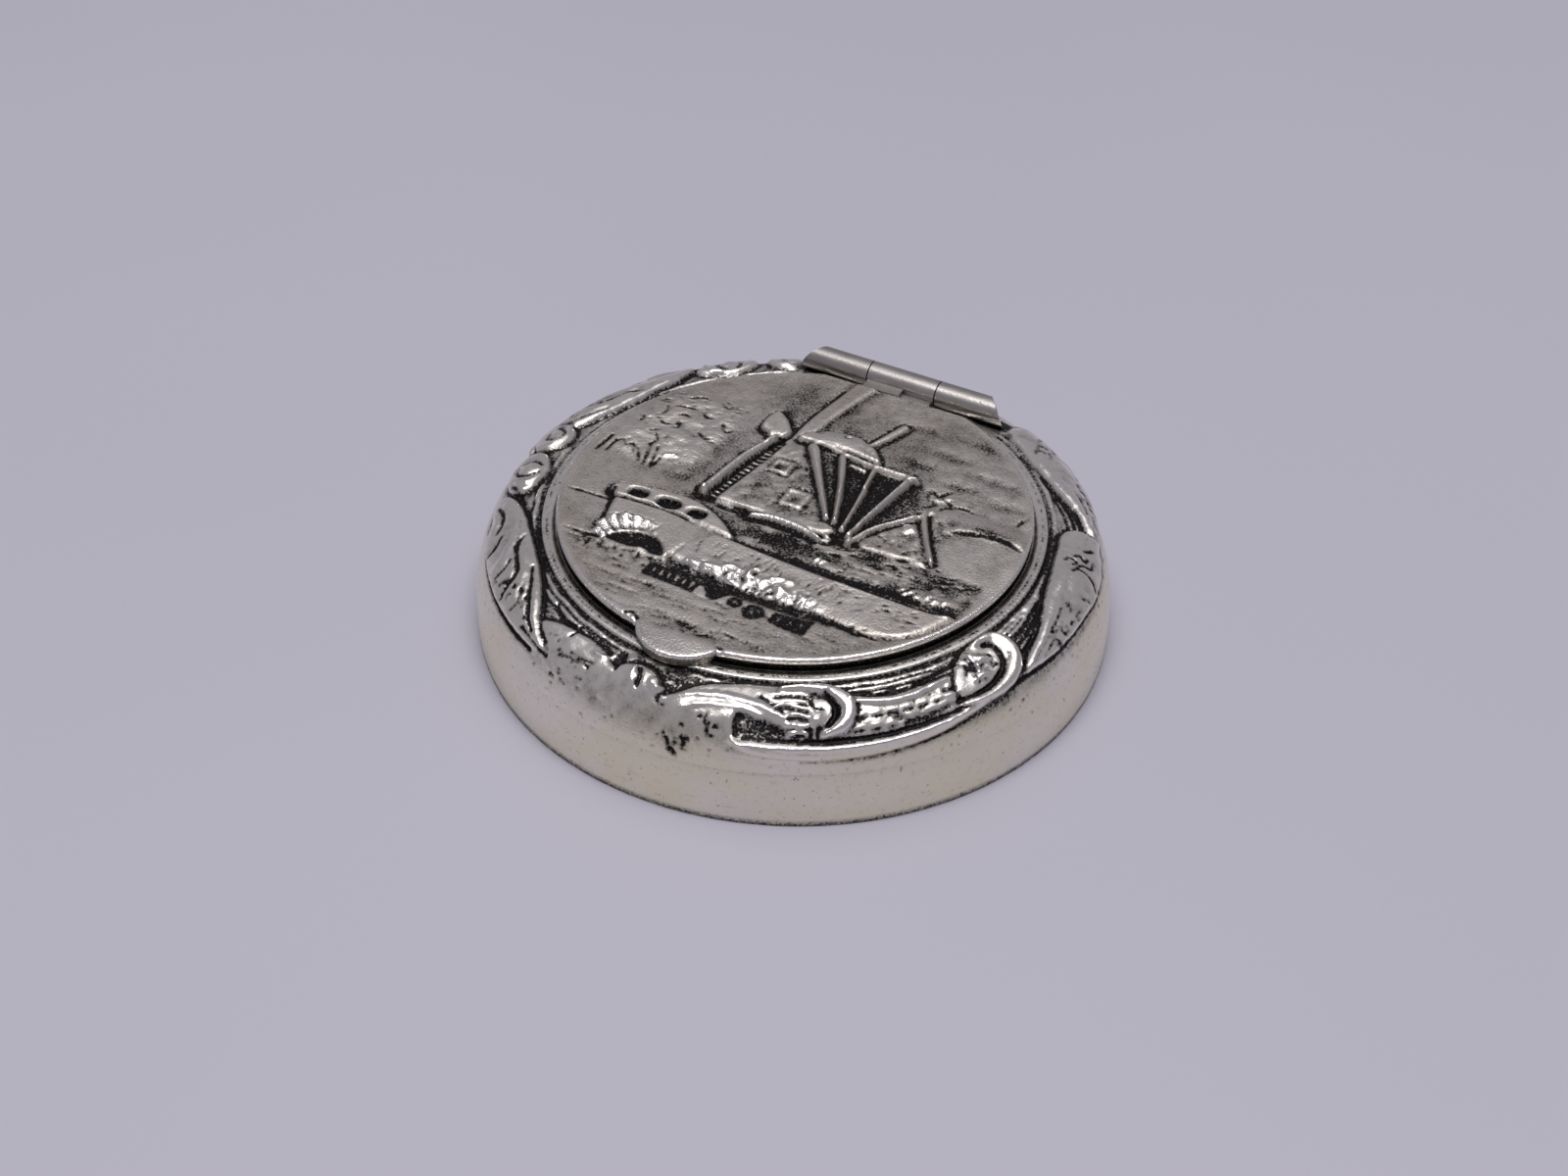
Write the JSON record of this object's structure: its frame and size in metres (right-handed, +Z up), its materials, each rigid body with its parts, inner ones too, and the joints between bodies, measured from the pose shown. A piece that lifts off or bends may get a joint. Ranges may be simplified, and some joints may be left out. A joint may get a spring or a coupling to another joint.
{
  "type": "pill box",
  "caption": "Small round metal box for pills with a bulging embossed shoulder and a hinged, snap-in lid struck with a landscape.",
  "frame": {"origin": "centre of the base, on the surface that the box stands on", "axes": "+Z up through the closed lid; +Y towards the hinge; the thumb tab is at -Y; +X along the hinge line"},
  "size_m": [0.045, 0.045, 0.0098],
  "materials": {
    "aged_silver": "embossed silver, bright on the high parts and oxidised dark in the hollows",
    "lid_silver": "struck silver picture, matt with dark oxidised hollows",
    "polished_silver": "worn, polished silver with fine scratches",
    "inner_silver": "smooth silver with a faint warm tarnish",
    "pin_wire": "drawn wire, cut flush and dull"
  },
  "bodies": {
    "box": {"outer_shell": "aged_silver", "base_plate": "inner_silver", "seat_ring": "polished_silver", "inner_collar": "inner_silver", "hinge_knuckle_left": "polished_silver", "hinge_knuckle_right": "polished_silver", "hinge_pin": "pin_wire"},
    "lid": {"lid_plate": "lid_silver", "lid_back_plate": "inner_silver", "lid_snap_rim": "inner_silver", "lid_hinge_leaf": "polished_silver", "lid_knuckle": "polished_silver"}
  },
  "joints": [
    {"name": "lid_hinge", "type": "hinge", "parent": "box", "child": "lid", "pos_m": [0, 0.0175, 0.0088], "axis": [-1, 0, 0], "range_deg": [0, 105]}
  ]
}
